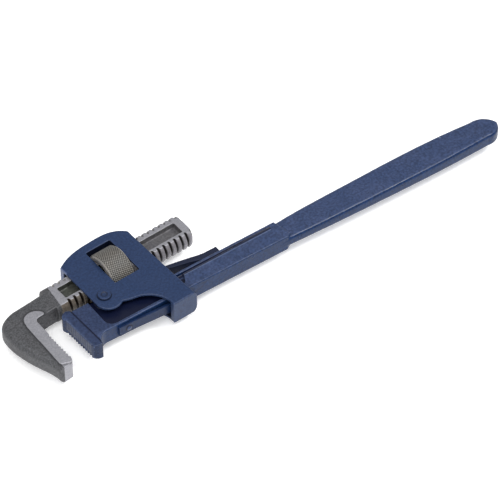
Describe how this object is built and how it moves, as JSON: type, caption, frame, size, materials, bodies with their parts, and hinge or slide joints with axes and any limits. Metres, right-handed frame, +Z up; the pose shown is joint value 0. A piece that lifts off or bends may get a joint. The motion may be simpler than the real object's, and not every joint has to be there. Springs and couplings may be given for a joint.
{
  "type": "pipe wrench",
  "caption": "Adjustable pipe wrench with a toothed hook jaw on a screw shank, a knurled nut in a pivoting frame, a toothed heel jaw and a long flat forged handle.",
  "frame": {"origin": "middle of the bottom of the bounding box, with the wrench lying on its side", "axes": "+X along the handle towards the end of the grip, +Y towards the screw shank, +Z up out of the wrench's side"},
  "size_m": [0.5468, 0.1162, 0.0446],
  "materials": {
    "handle_paint": "satin dark blue paint on a forging",
    "heel_jaw_paint": "satin dark blue paint, bare teeth",
    "pin_steel": "drawn steel",
    "spring_paint": "satin dark blue paint",
    "rivet_paint": "satin dark blue paint",
    "spring_steel": "black oiled spring steel",
    "rivet_steel": "black oiled steel",
    "frame_paint": "satin dark blue paint on a casting",
    "frame_pin_paint": "satin dark blue paint",
    "nut_steel": "fine knurl",
    "jaw_steel": "heat treated forging with ground flats"
  },
  "bodies": {
    "handle": {"handle": "handle_paint", "heel_jaw": "heel_jaw_paint", "heel_jaw_pin": "pin_steel", "lower_leaf_spring": "spring_paint", "lower_spring_rivet": "rivet_paint", "upper_leaf_spring": "spring_steel", "upper_spring_rivet": "rivet_steel"},
    "frame": {"frame": "frame_paint", "frame_pin": "frame_pin_paint"},
    "hook_jaw": {"hook_jaw": "jaw_steel"},
    "adjusting_nut": {"adjusting_nut": "nut_steel"}
  },
  "joints": [
    {"name": "frame_pivot", "type": "hinge", "parent": "handle", "child": "frame", "pos_m": [-0.1742, -0.00804, 0.0223], "axis": [0, 0, 1], "range_deg": [-5, 0.3], "stiffness_Nm_per_rad": 20},
    {"name": "hook_slide", "type": "slide", "parent": "frame", "child": "hook_jaw", "axis": [0.999, 0.0436, 0], "range_m": [-0.052, 0.018]},
    {"name": "nut_spin", "type": "hinge", "parent": "frame", "child": "adjusting_nut", "pos_m": [-0.14487, 0.02397, 0.0223], "axis": [0.999, 0.0436, 0], "range_deg": [-997.9, 2881]}
  ],
  "couplings": [
    {"joint": "nut_spin", "follows": "hook_slide", "rad_per_m": -966.64}
  ]
}
